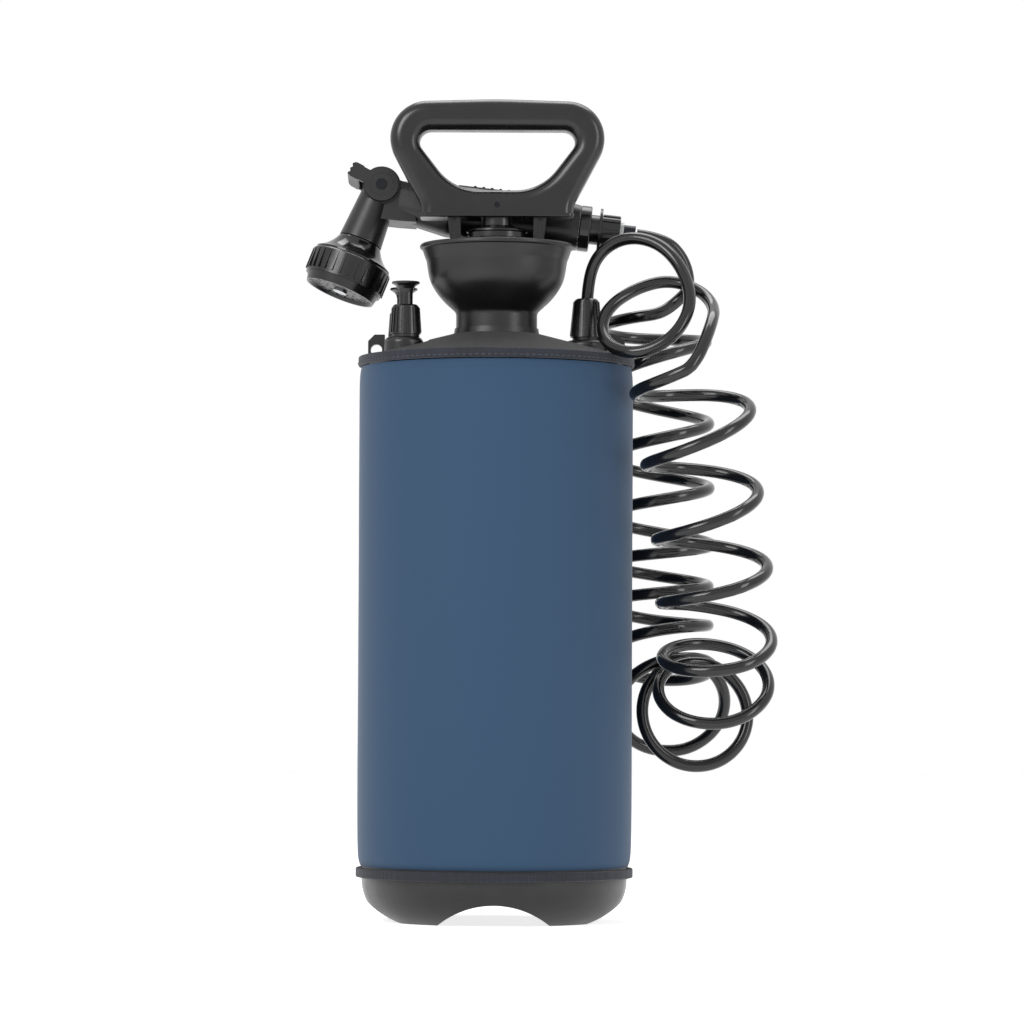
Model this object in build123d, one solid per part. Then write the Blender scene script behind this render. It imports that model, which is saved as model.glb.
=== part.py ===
from build123d import *
import math
import os

# Portable pressure shower: blow-moulded tank in a fabric sleeve, hand pump with a D handle,
# funnel, two relief valves, hose outlet, coiled hose and a shower handset.
# Millimetres, +Z up, origin on the floor at the tank's axis, front of the tank at -Y.

# Clearances
RUNNING = 0.08
SEAT = 0.3
HAIR = 0.1

# Tank
TANK_R = 91.7
TANK_WALL = 3.0
FOOT_R = 74.0
FOOT_ROUND_H = 32.0
ARCH_H = 14.6
ARCH_HALF = 38.0
SHOULDER_Z = 376.0
DOME_EDGE_R = 80.0
DOME_EDGE_Z = 391.0
DOME_TOP_Z = 405.5
NECK_R = 25.0
NECK_BORE_R = 22.0
NECK_H = 12.5

# Pods that carry the valves and the outlet
POD_TOP_Z = 403.2
VALVE_POD_X = -64.0
VALVE_POD_W = 27.0
VALVE_POD_L = 75.0
OUTLET_X = 62.5
OUTLET_POD_R = 15.0
POD_ROUND = 4.0

# Relief valves
VALVE_SPREAD = 24.0
VALVE_TURN = 3.0
VALVE_CAP_R = 11.2
VALVE_CAP_TOP_R = 9.8
VALVE_CAP_H = 20.3
VALVE_STEM_R = 4.85
VALVE_CROWN_R = 9.75
VALVE_CROWN_RISE = 16.0
VALVE_RIBS = 20
STUB_R = 7.1
STUB_BORE_R = 3.0
STUB_REACH = 6.0
STUB_FLANGE_R = 9.6
FLOOR_THICK = 2.0
THREAD_R = 8.2
THREAD_BORE_R = 7.3
THREAD_H = 8.0
CAVITY_R = 8.4
CAP_ROOF = 2.6
COLLAR_THICK = 1.6
VALVE_SEAL_THICK = 1.4
VALVE_SEAL_R = 6.6
SPRING_WIRE = 0.5
SPRING_R = 6.0
SPRING_TURNS = 4

# Carrying lugs
LUG_OUT_X = 89.3
LUG_IN_X = 77.8
LUG_TOP_Z = 406.6
LUG_THICK = 8.0
LUG_EYE_R = 4.0
LUG_EYE_Z = 396.0

# Fabric sleeve, its bindings and the top panel
SLEEVE_THICK = 3.0
SLEEVE_BOTTOM_Z = 37.3
SLEEVE_TOP_Z = 384.0
BINDING_H = 6.5
BINDING_PROUD = 1.0
COVER_THICK = 2.8
COVER_IN_R = 31.0
COVER_NOTCH_GAP = 4.0

# Funnel
FUNNEL_WALL = 2.5
FUNNEL_NECK_R = 28.2
FUNNEL_STEP_R = 29.8
FUNNEL_STEP_H = 4.0
FUNNEL_RIM_R = 53.7
FUNNEL_H = 62.9
GASKET_THICK = 1.6

# Pump
BARREL_R = 19.0
BARREL_WALL = 2.2
BARREL_BOTTOM_Z = 168.0
BARREL_TOP_Z = 474.3
FLANGE_R = 24.7
FLANGE_H = 3.0
PUMP_SEAL_THICK = 1.6
BARREL_RIBS = 10
PUMP_CAP_R = 21.3
PUMP_CAP_H = 8.0
ROD_R = 8.0
ROD_WALL = 2.5
PISTON_H = 14.0
PISTON_GAP = 6.0
GROOVE_H = 4.0
PIN_R = 2.0

# Handle
HANDLE_DEPTH = 27.0
HANDLE_BASE_Z = 488.0
HANDLE_TOP_Z = 571.4
HANDLE_SIDE_LEAN = 27.9
HANDLE_CROWN = 2.6
HANDLE_BASE_HALF = 53.2
HANDLE_ROUND = 8.5
GRIP_TOP_Z = 549.3
GRIP_BOTTOM_Z = 507.6
GRIP_TOP_HALF = 62.3
GRIP_BOTTOM_HALF = 30.2
HANDLE_BOSS_R = 11.0
PRONG_X = 30.0
PRONG_W = 9.0
PRONG_DEPTH = 15.0
PRONG_BOTTOM_Z = 466.0

# Handset, drawn along its own axis and then laid behind the handle
HANDSET_Y = 39.0
HANDSET_Z = 492.8
HANDSET_TILT = 6.5
HANDSET_ROLL = -7.0
GRIP_DEEP = 30.0
GRIP_HIGH = 36.0
GRIP_MID = 35.0
GRIP_LEFT_END = -70.0
GRIP_RIGHT_END = 58.0
GRIP_RISE = 1.0
PAD_HALF = 30.0
PAD_W = 13.0
PAD_SINK = 1.6
END_CAP_R = 16.2
END_CAP_L = 8.0
PIVOT_X = -83.5
PIVOT_RISE = 11.4
PIVOT_R = 13.4
PIVOT_HALF = 12.5
LEVER_R = 12.0
LEVER_BORE_R = 8.3
LEVER_THICK = 2.8
LEVER_PAD_IN = 15.5
LEVER_PAD_OUT = 24.0
LEVER_PAD_ANGLE = 158.0
AXLE_R = 4.0
HEAD_TILT = 14.7
HEAD_NECK_R = 15.5
HEAD_NECK_L = 41.1
SKIRT_L = 15.0
DIAL_R = 28.8
DIAL_BAND_L = 18.0
DIAL_L = 24.0
DIAL_RIM_R = 24.9
DIAL_RIBS = 30
SPIGOT_R = 10.0
FACE_R = 22.0
FACE_THICK = 2.4
FACE_RECESS = 2.0
SCREW_R = 2.5

# Hose and its coupling
HOSE_R = 4.25
COIL_R = 42.5
COIL_WALL = 1.2
COUPLING_NECK_R = 10.5
COUPLING_NECK_L = 5.8
COUPLING_FLANGE_R = 15.5
COUPLING_FLANGE_L = 1.9
COUPLING_NUT_R = 11.7
COUPLING_NUT_L = 13.0
COLLAR_R = 7.4
COLLAR_L = 2.5
FERRULE_R = 6.0
FERRULE_L = 8.3
OUTLET_NUT_H = 27.0
OUTLET_NUT_R = 11.75
OUTLET_NUT_TOP_R = 9.1
OUTLET_SEAL_H = 6.0
DIP_R = 5.0
DIP_WALL = 1.2
DIP_LOW_Z = 24.0
STRAINER_R = 7.5
STRAINER_H = 14.0

os.makedirs("parts", exist_ok=True)
nodes = {}


def keep(name, shape):
    """Write one sub-part to its own file."""
    nodes[name] = shape
    export_step(shape, "parts/" + name + ".step")


def turned(points):
    """A solid turned about Z from a closed outline of (radius, height) points."""
    wire = Polyline(*[(r, 0, z) for r, z in points], close=True)
    return revolve(make_face(wire), Axis.Z)


def ring(inner, outer, low, high):
    """A plain ring or tube standing on Z."""
    return turned([(inner, low), (outer, low), (outer, high), (inner, high)])


def post(radius, low, high):
    """A round bar along Z."""
    return Pos(0, 0, low) * Cylinder(radius, high - low, align=(Align.CENTER, Align.CENTER, Align.MIN))


def around(shape, count, start=0.0):
    """Copies of a shape set evenly about Z."""
    return [Rot(0, 0, start + 360.0 * i / count) * shape for i in range(count)]


# Tank
NECK_TOP_Z = DOME_TOP_Z + NECK_H
SLEEVE_IN_R = TANK_R + SEAT
SLEEVE_R = SLEEVE_IN_R + SLEEVE_THICK
ARCH_R = (ARCH_HALF**2 + ARCH_H**2) / (2 * ARCH_H)
VALVE_XY = [
    (
        VALVE_POD_X - side * VALVE_SPREAD * math.sin(math.radians(VALVE_TURN)),
        side * VALVE_SPREAD * math.cos(math.radians(VALVE_TURN)),
    )
    for side in (-1, 1)
]


def tank_body(inset):
    """The tank's turned form, drawn in from the outside by a wall."""
    wall_r = TANK_R - inset
    foot_r = FOOT_R - inset
    low = inset
    middle_r = foot_r + (wall_r - foot_r) * 0.62
    middle_z = low + (FOOT_ROUND_H - low) * 0.28
    edge_z = DOME_EDGE_Z - inset
    bulge_r = wall_r - (wall_r - DOME_EDGE_R) * 0.25
    bulge_z = SHOULDER_Z + (edge_z - SHOULDER_Z) * 0.62
    lines = [
        Line((0, 0, low), (foot_r, 0, low)),
        ThreePointArc((foot_r, 0, low), (middle_r, 0, middle_z), (wall_r, 0, FOOT_ROUND_H)),
        Line((wall_r, 0, FOOT_ROUND_H), (wall_r, 0, SHOULDER_Z)),
        ThreePointArc((wall_r, 0, SHOULDER_Z), (bulge_r, 0, bulge_z), (DOME_EDGE_R, 0, edge_z)),
        Line((DOME_EDGE_R, 0, edge_z), (NECK_R, 0, DOME_TOP_Z - inset)),
        Line((NECK_R, 0, DOME_TOP_Z - inset), (0, 0, DOME_TOP_Z - inset)),
        Line((0, 0, DOME_TOP_Z - inset), (0, 0, low)),
    ]
    return revolve(make_face(Wire(lines)), Axis.Z)


def foot_arches(inset):
    """Two crossing tunnels under the tank that leave four foot lobes."""
    bar = Cylinder(ARCH_R + inset, 3 * TANK_R)
    middle = ARCH_H - ARCH_R
    along_x = Pos(0, 0, middle) * Rot(0, 90, 0) * bar
    along_y = Pos(0, 0, middle) * Rot(90, 0, 0) * bar
    return along_x + along_y


def pods(inset):
    """The raised pads that carry the two valves and the outlet."""
    top = POD_TOP_Z - inset
    height = top - SHOULDER_Z
    valve_pad = SlotOverall(VALVE_POD_L - 2 * inset, VALVE_POD_W - 2 * inset, rotation=90)
    valves = Pos(VALVE_POD_X, 0, SHOULDER_Z) * extrude(valve_pad, height)
    outlet = Pos(OUTLET_X, 0, SHOULDER_Z) * extrude(Circle(OUTLET_POD_R - inset), height)
    if inset == 0:
        valves = fillet(valves.faces().sort_by(Axis.Z)[-1].edges(), POD_ROUND)
        outlet = fillet(outlet.faces().sort_by(Axis.Z)[-1].edges(), POD_ROUND)
    return [valves, outlet]


def make_tank():
    outer = tank_body(0) + pods(0) + post(NECK_R, SHOULDER_Z, NECK_TOP_Z)
    outer -= foot_arches(0)
    inner = tank_body(TANK_WALL) + pods(TANK_WALL)
    inner -= foot_arches(TANK_WALL)
    shell = outer - inner
    shell -= post(NECK_BORE_R, SHOULDER_Z, NECK_TOP_Z + 1)
    for x, y in VALVE_XY + [(OUTLET_X, 0)]:
        shell -= Pos(x, y, 0) * post(STUB_R + HAIR, SHOULDER_Z, POD_TOP_Z + 1)
    return shell


keep("tank_shell", make_tank())


def lug(side):
    """One eye plate, its foot cut to sit on the tank's shoulder."""
    low = DOME_EDGE_Z - 12
    middle = (LUG_IN_X + LUG_OUT_X) / 2
    chamfer_w = 4.5
    outline = [
        (LUG_IN_X, low),
        (LUG_OUT_X, low),
        (LUG_OUT_X, LUG_TOP_Z - chamfer_w),
        (LUG_OUT_X - chamfer_w, LUG_TOP_Z),
        (LUG_IN_X, LUG_TOP_Z),
    ]
    face = make_face(Polyline(*[(side * x, 0, z) for x, z in outline], close=True))
    plate = extrude(face, LUG_THICK / 2, both=True, dir=(0, 1, 0))
    eye = Pos(side * middle, 0, LUG_EYE_Z) * Rot(90, 0, 0) * Cylinder(LUG_EYE_R, 2 * LUG_THICK)
    gap = tank_body(-SEAT)
    return plate - eye - gap


keep("strap_lugs", Compound([lug(-1), lug(1)]))

# Fabric
binding_r = SLEEVE_R + BINDING_PROUD
keep("sleeve", ring(SLEEVE_IN_R, SLEEVE_R, SLEEVE_BOTTOM_Z, SLEEVE_TOP_Z))
top_binding_z = SLEEVE_TOP_Z + SEAT
low_binding_z = SLEEVE_BOTTOM_Z - SEAT
top_ring = ring(SLEEVE_IN_R, binding_r, top_binding_z, top_binding_z + BINDING_H)
low_ring = ring(SLEEVE_IN_R, binding_r, low_binding_z - BINDING_H, low_binding_z)
keep("sleeve_top_binding", fillet(top_ring.edges(), 0.9))
keep("sleeve_bottom_binding", fillet(low_ring.edges(), 0.9))


def dome_z(radius):
    """Height of the tank's dome at a radius."""
    share = (DOME_EDGE_R - radius) / (DOME_EDGE_R - NECK_R)
    return DOME_EDGE_Z + (DOME_TOP_Z - DOME_EDGE_Z) * share


def make_cover():
    """The black top panel: a low cone over the dome with a notch at each pod."""
    edge_r = SLEEVE_IN_R - SEAT
    edge_z = top_binding_z + BINDING_H - COVER_THICK
    rise = SEAT
    cover = turned([
        (COVER_IN_R, dome_z(COVER_IN_R) + rise),
        (DOME_EDGE_R, dome_z(DOME_EDGE_R) + rise),
        (edge_r, edge_z),
        (edge_r, edge_z + COVER_THICK),
        (DOME_EDGE_R, dome_z(DOME_EDGE_R) + rise + COVER_THICK),
        (COVER_IN_R, dome_z(COVER_IN_R) + rise + COVER_THICK),
    ])
    reach = 2 * TANK_R
    depth = LUG_TOP_Z - SHOULDER_Z
    gap = COVER_NOTCH_GAP
    wide = RectangleRounded(reach, VALVE_POD_L + 2 * gap, VALVE_POD_W / 2)
    narrow = RectangleRounded(reach, 2 * (OUTLET_POD_R + gap), OUTLET_POD_R * 0.8)
    left_x = VALVE_POD_X + VALVE_POD_W / 2 + gap - reach / 2
    right_x = OUTLET_X - OUTLET_POD_R - gap + reach / 2
    cover -= Pos(left_x, 0, SHOULDER_Z) * extrude(wide, depth)
    cover -= Pos(right_x, 0, SHOULDER_Z) * extrude(narrow, depth)
    return cover


keep("shoulder_cover", make_cover())

# Funnel on the tank's neck
FUNNEL_BOTTOM_Z = DOME_TOP_Z + GASKET_THICK
FUNNEL_TOP_Z = FUNNEL_BOTTOM_Z + FUNNEL_H
keep("funnel_gasket", ring(NECK_R + HAIR, FUNNEL_NECK_R, DOME_TOP_Z, FUNNEL_BOTTOM_Z))


def make_funnel():
    """A turned bowl with a rolled rim, a neck and a stepped foot."""
    bore_r = NECK_R + SEAT
    bottom = FUNNEL_BOTTOM_Z
    top = FUNNEL_TOP_Z
    outer = [
        (FUNNEL_NECK_R, top - 50.0),
        (FUNNEL_NECK_R + 2.4, top - 45.6),
        (FUNNEL_NECK_R + 8.5, top - 40.0),
        (FUNNEL_NECK_R + 14.8, top - 32.0),
        (FUNNEL_NECK_R + 18.6, top - 24.0),
        (FUNNEL_NECK_R + 20.8, top - 12.0),
        (FUNNEL_RIM_R - 1.8, top - 3.6),
    ]
    inner = [
        (bore_r, top - 47.0),
        (FUNNEL_NECK_R + 1.2, top - 42.8),
        (FUNNEL_NECK_R + 7.0, top - 37.6),
        (FUNNEL_NECK_R + 12.6, top - 30.4),
        (FUNNEL_NECK_R + 16.2, top - 23.0),
        (FUNNEL_NECK_R + 18.3, top - 12.0),
        (FUNNEL_RIM_R - 1.8 - FUNNEL_WALL, top),
    ]
    rim_r = 1.8
    step = FUNNEL_STEP_H
    lines = [
        Line((bore_r, 0, bottom), (FUNNEL_STEP_R, 0, bottom)),
        Line((FUNNEL_STEP_R, 0, bottom), (FUNNEL_STEP_R - 0.6, 0, bottom + step)),
        Line((FUNNEL_STEP_R - 0.6, 0, bottom + step), (FUNNEL_NECK_R, 0, bottom + step)),
        Line((FUNNEL_NECK_R, 0, bottom + step), (outer[0][0], 0, outer[0][1])),
        Spline(*[(r, 0, z) for r, z in outer], tangents=[(0, 0, 1), (0.3, 0, 1)]),
        Line((FUNNEL_RIM_R - rim_r, 0, top - 2 * rim_r), (FUNNEL_RIM_R - rim_r + 0.3, 0, top - 2 * rim_r)),
        ThreePointArc(
            (FUNNEL_RIM_R - rim_r + 0.3, 0, top - 2 * rim_r),
            (FUNNEL_RIM_R, 0, top - rim_r),
            (FUNNEL_RIM_R - rim_r, 0, top),
        ),
        Line((FUNNEL_RIM_R - rim_r, 0, top), (inner[-1][0], 0, inner[-1][1])),
        Spline(*[(r, 0, z) for r, z in reversed(inner)], tangents=[(-0.3, 0, -1), (0, 0, -1)]),
        Line((bore_r, 0, inner[0][1]), (bore_r, 0, bottom)),
    ]
    return revolve(make_face(Wire(lines)), Axis.Z)


keep("funnel", make_funnel())

# Pump barrel with its ribbed head, flange and threaded collar
BARREL_IN_R = BARREL_R - BARREL_WALL
FLANGE_Z = NECK_TOP_Z + PUMP_SEAL_THICK


def make_barrel():
    floor = 3.0
    barrel = ring(BARREL_IN_R, BARREL_R, BARREL_BOTTOM_Z, BARREL_TOP_Z)
    barrel += ring(0, BARREL_R, BARREL_BOTTOM_Z, BARREL_BOTTOM_Z + floor)
    barrel += ring(BARREL_IN_R, NECK_BORE_R - SEAT, DOME_TOP_Z - 4, FLANGE_Z)
    barrel += ring(BARREL_IN_R, FLANGE_R, FLANGE_Z, FLANGE_Z + FLANGE_H)
    rib_low = FLANGE_Z + FLANGE_H
    rib_h = BARREL_TOP_Z - rib_low
    rib = Pos(BARREL_R + 0.4, 0, rib_low + rib_h / 2) * Box(2.8, 2.0, rib_h)
    barrel += around(rib, BARREL_RIBS, 18)
    hole = Pos(10, 0, BARREL_BOTTOM_Z) * Cylinder(1.5, 4 * floor)
    barrel -= around(hole, 4, 45)
    barrel -= Pos(0, 0, BARREL_BOTTOM_Z) * Cylinder(2.1, 4 * floor)
    return barrel


keep("pump_barrel", make_barrel())
keep("pump_seal", ring(NECK_BORE_R - SEAT + HAIR, FLANGE_R, NECK_TOP_Z, FLANGE_Z))

valve_head = turned([
    (0, BARREL_BOTTOM_Z - 3.2),
    (12.5, BARREL_BOTTOM_Z - 1.2),
    (13.0, BARREL_BOTTOM_Z - 0.1),
    (0, BARREL_BOTTOM_Z - 0.1),
])
valve_stalk = post(2.0, BARREL_BOTTOM_Z - 0.2, BARREL_BOTTOM_Z + 3.2)
valve_knob = ring(0, 3.0, BARREL_BOTTOM_Z + 3.1, BARREL_BOTTOM_Z + 5.4)
keep("check_valve", valve_head + valve_stalk + valve_knob)


def make_pump_cap():
    """A domed disc that plugs into the barrel and guides the rod."""
    low = BARREL_TOP_Z
    top = low + PUMP_CAP_H
    plug_r = BARREL_IN_R - HAIR
    bore = ROD_R + RUNNING
    lines = [
        Line((bore, 0, low - 9), (plug_r, 0, low - 9)),
        Line((plug_r, 0, low - 9), (plug_r, 0, low)),
        Line((plug_r, 0, low), (PUMP_CAP_R - 1, 0, low)),
        Line((PUMP_CAP_R - 1, 0, low), (PUMP_CAP_R - 1, 0, low + 3.5)),
        Line((PUMP_CAP_R - 1, 0, low + 3.5), (PUMP_CAP_R, 0, low + 4.2)),
        Line((PUMP_CAP_R, 0, low + 4.2), (PUMP_CAP_R - 0.4, 0, low + 5.4)),
        ThreePointArc((PUMP_CAP_R - 0.4, 0, low + 5.4), (15.5, 0, top - 0.7), (bore, 0, top)),
        Line((bore, 0, top), (bore, 0, low - 9)),
    ]
    return revolve(make_face(Wire(lines)), Axis.Z)


keep("pump_cap", make_pump_cap())
PUMP_CAP_TOP_Z = BARREL_TOP_Z + PUMP_CAP_H

# Pump rod, piston and handle
BOSS_Z = PUMP_CAP_TOP_Z + 0.6
ROD_TOP_Z = HANDLE_BASE_Z + 15.0
PISTON_Z = BARREL_BOTTOM_Z + 3.0 + PISTON_GAP
PIN_Z = HANDLE_BASE_Z + 8.5


def cross_hole(radius, length):
    """A round bar through the handle and rod, along Y."""
    return Pos(0, 0, PIN_Z) * Rot(90, 0, 0) * Cylinder(radius, length)


piston_r = BARREL_IN_R - RUNNING
groove_low = PISTON_Z + 5.0
piston = turned([
    (0, PISTON_Z),
    (piston_r - 1, PISTON_Z),
    (piston_r, PISTON_Z + 1),
    (piston_r, groove_low),
    (piston_r - 3, groove_low),
    (piston_r - 3, groove_low + GROOVE_H),
    (piston_r, groove_low + GROOVE_H),
    (piston_r, PISTON_Z + PISTON_H),
    (ROD_R + 3, PISTON_Z + PISTON_H),
    (ROD_R + 3, PISTON_Z + PISTON_H + 6),
    (ROD_R + HAIR, PISTON_Z + PISTON_H + 6),
    (ROD_R + HAIR, PISTON_Z + PISTON_H),
    (0, PISTON_Z + PISTON_H),
])
keep("piston", piston)
keep("piston_seal", ring(piston_r - 2.9, piston_r - 0.02, groove_low + HAIR, groove_low + GROOVE_H - HAIR))
rod_low = PISTON_Z + PISTON_H + HAIR
rod = ring(ROD_R - ROD_WALL, ROD_R, rod_low, ROD_TOP_Z) - cross_hole(PIN_R + HAIR / 2, 4 * ROD_R)
keep("pump_rod", rod)


def mirrored_outline(half):
    """A closed polygon from its right half, listed from the bottom up."""
    left = [(-x, z) for x, z in reversed(half)]
    return [(x, 0, z) for x, z in half + left]


def rounded_face(points, radii):
    """A flat face in XZ from corner points, with a radius at each corner."""
    count = len(points)
    sketch = make_face(Polyline(*points, close=True))
    for point, radius in zip(points, radii):
        if radius:
            corner = sketch.vertices().sort_by_distance(point)[0]
            sketch = fillet(corner, radius)
    return sketch


def make_prong(side):
    """A tapered channel-shaped locking prong under the handle's bar."""
    top = HANDLE_BASE_Z + 1
    height = top - PRONG_BOTTOM_Z
    upper = Pos(side * PRONG_X, 0, top) * Rectangle(PRONG_W, PRONG_DEPTH)
    lower = Pos(side * (PRONG_X - 1.6), 0, PRONG_BOTTOM_Z) * Rectangle(PRONG_W - 2.2, PRONG_DEPTH - 3)
    body = loft([lower, upper])
    slot = Pos(side * PRONG_X, -PRONG_DEPTH / 2, top - height / 2 - 2) * Box(3.4, 3.0, height + 2)
    return body - slot


def make_handle():
    knee_z = HANDLE_BASE_Z + 9
    shoulder_z = HANDLE_TOP_Z - HANDLE_CROWN
    spread = (shoulder_z - knee_z) * math.tan(math.radians(HANDLE_SIDE_LEAN))
    right = [
        (HANDLE_BASE_HALF, HANDLE_BASE_Z + 2),
        (HANDLE_BASE_HALF, knee_z),
        (HANDLE_BASE_HALF + spread, shoulder_z),
    ]
    radii = [0, 14, 26]
    outline = mirrored_outline(right)
    outline.insert(3, (0, 0, HANDLE_TOP_Z))
    loop = rounded_face(outline, radii + [400] + radii[::-1])
    grip_half = [(GRIP_BOTTOM_HALF, GRIP_BOTTOM_Z), (GRIP_TOP_HALF, GRIP_TOP_Z)]
    grip_radii = [36, 8]
    opening = rounded_face(mirrored_outline(grip_half), grip_radii + grip_radii[::-1])
    solid = extrude(loop, HANDLE_DEPTH / 2, both=True, dir=(0, 1, 0))
    solid -= extrude(opening, HANDLE_DEPTH, both=True, dir=(0, 1, 0))
    low = HANDLE_BASE_Z + 3
    rims = [
        edge
        for edge in solid.edges()
        if abs(abs(edge.center().Y) - HANDLE_DEPTH / 2) < 0.01 and edge.center().Z > low
    ]
    solid = fillet(rims, HANDLE_ROUND)
    lip = Pos(0, 0, HANDLE_BASE_Z + 1.5) * Box(2 * HANDLE_BASE_HALF + 1, HANDLE_DEPTH + 1, 3)
    lip = fillet(lip.edges().filter_by(Axis.Z), 5)
    lip = fillet(lip.faces().sort_by(Axis.Z)[0].edges(), 1.2)
    boss = post(HANDLE_BOSS_R, BOSS_Z, HANDLE_BASE_Z + 1)
    solid = solid + lip + boss + make_prong(-1) + make_prong(1)
    solid -= post(ROD_R + HAIR, BOSS_Z - 1, ROD_TOP_Z + SEAT)
    solid -= cross_hole(PIN_R + HAIR / 2, 2 * HANDLE_DEPTH)
    return solid


keep("pump_handle", make_handle())
keep("rod_pin", cross_hole(PIN_R, HANDLE_DEPTH - 1))


# Relief valves
def ribbed_cap(bottom_r, top_r, height, ribs, bore, cavity_r, cavity_h):
    """A tapered cap with grip ribs, hollow from below, with a hole in its top."""
    cap = turned([(0, 0), (bottom_r - 0.7, 0), (top_r - 0.7, height - 1.2), (top_r - 2, height), (0, height)])
    lean = math.degrees(math.atan((bottom_r - top_r) / height))
    rib = Pos((bottom_r + top_r) / 2 - 0.9, 0, height / 2 - 0.6)
    rib = rib * Rot(0, -lean, 0) * Box(1.6, 1.3, height - 3)
    cap += around(rib, ribs)
    return cap - post(cavity_r, -1, cavity_h) - post(bore, -1, height + 1)


valve_floor = POD_TOP_Z + FLOOR_THICK
CAP_Z = valve_floor + HAIR
cap_ceiling = CAP_Z + VALVE_CAP_H - CAP_ROOF
collar_low = valve_floor + HAIR + VALVE_SEAL_THICK
STUB_LOW_Z = POD_TOP_Z - TANK_WALL - STUB_REACH


def stub(top_z):
    """A moulded fitting: stub through the pod, flange on it and a threaded ring for a cap."""
    fitting = ring(STUB_BORE_R, STUB_R, STUB_LOW_Z, POD_TOP_Z + 0.5)
    fitting += ring(STUB_BORE_R, STUB_FLANGE_R, POD_TOP_Z, valve_floor)
    fitting += ring(THREAD_BORE_R, THREAD_R, valve_floor - 0.5, top_z)
    return fitting


for place, name in zip(VALVE_XY, ("front", "rear")):
    at = Pos(place[0], place[1], 0)
    keep(name + "_valve_body", at * stub(valve_floor + THREAD_H))
    cap = ribbed_cap(
        VALVE_CAP_R,
        VALVE_CAP_TOP_R,
        VALVE_CAP_H,
        VALVE_RIBS,
        VALVE_STEM_R + RUNNING,
        CAVITY_R,
        VALVE_CAP_H - CAP_ROOF,
    )
    keep(name + "_valve_cap", at * Pos(0, 0, CAP_Z) * cap)
    crown_z = CAP_Z + VALVE_CAP_H + VALVE_CROWN_RISE
    stem = turned([
        (0, collar_low),
        (THREAD_BORE_R - SEAT, collar_low),
        (THREAD_BORE_R - SEAT, collar_low + COLLAR_THICK),
        (VALVE_STEM_R, collar_low + COLLAR_THICK),
        (VALVE_STEM_R, crown_z - 7.5),
        (VALVE_STEM_R + 0.6, crown_z - 5.0),
        (VALVE_STEM_R + 2.0, crown_z - 3.0),
        (VALVE_CROWN_R - 0.3, crown_z - 1.5),
        (VALVE_CROWN_R, crown_z - 0.8),
        (VALVE_CROWN_R - 0.5, crown_z),
        (0, crown_z - 0.6),
    ])
    keep(name + "_valve_plunger", at * stem)
    keep(name + "_valve_seal", at * ring(0, VALVE_SEAL_R, valve_floor + HAIR / 2, collar_low - HAIR / 2))
    spring_low = collar_low + COLLAR_THICK + SPRING_WIRE + HAIR
    spring_high = cap_ceiling - SPRING_WIRE - HAIR
    pitch = (spring_high - spring_low) / SPRING_TURNS
    coil = Helix(pitch, spring_high - spring_low, SPRING_R)
    section = Plane(coil @ 0, z_dir=coil % 0) * Circle(SPRING_WIRE)
    keep(name + "_valve_spring", at * Pos(0, 0, spring_low) * sweep(section, path=coil, is_frenet=True))

# Hose outlet on the other pod
at_outlet = Pos(OUTLET_X, 0, 0)
keep("outlet_spigot", at_outlet * stub(valve_floor + THREAD_H + 1))
outlet_cap = ribbed_cap(
    OUTLET_NUT_R,
    OUTLET_NUT_TOP_R,
    OUTLET_NUT_H,
    VALVE_RIBS,
    HOSE_R + SEAT,
    CAVITY_R,
    11.0,
)
keep("outlet_nut", at_outlet * Pos(0, 0, CAP_Z) * outlet_cap)
HOSE_SEAT_Z = valve_floor + OUTLET_SEAL_H + HAIR
keep("outlet_seal", at_outlet * ring(STUB_BORE_R, 6.9, valve_floor, valve_floor + OUTLET_SEAL_H))
keep("dip_tube", at_outlet * ring(DIP_R - DIP_WALL, DIP_R, DIP_LOW_Z, STUB_LOW_Z))


def make_strainer():
    cup = ring(0, STRAINER_R, DIP_LOW_Z - 3, DIP_LOW_Z + STRAINER_H)
    cup -= post(DIP_R + HAIR, DIP_LOW_Z, DIP_LOW_Z + STRAINER_H + 1)
    slit = Pos(6, 0, DIP_LOW_Z + STRAINER_H * 0.4) * Box(6, 1.2, STRAINER_H * 0.5)
    return cup - around(slit, 8)


keep("strainer", at_outlet * make_strainer())

# Handset: everything is drawn along +X of its own frame, then laid behind the handle
HANDSET = Pos(0, HANDSET_Y, HANDSET_Z) * Rot(0, HANDSET_TILT, 0) * Rot(HANDSET_ROLL, 0, 0)
PIVOT = HANDSET * Pos(PIVOT_X, 0, PIVOT_RISE)
HEAD = PIVOT * Rot(0, 180 + HEAD_TILT, 0)
COUPLING = HANDSET * Rot(0, 90, 0)


def grip_section(x, deep, high, rise):
    """One rounded section of the grip, square to its axis."""
    corner = min(deep, high) * 0.4
    plane = Plane(origin=(x, 0, rise), x_dir=(0, 1, 0), z_dir=(1, 0, 0))
    return plane * RectangleRounded(deep, high, corner)


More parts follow.
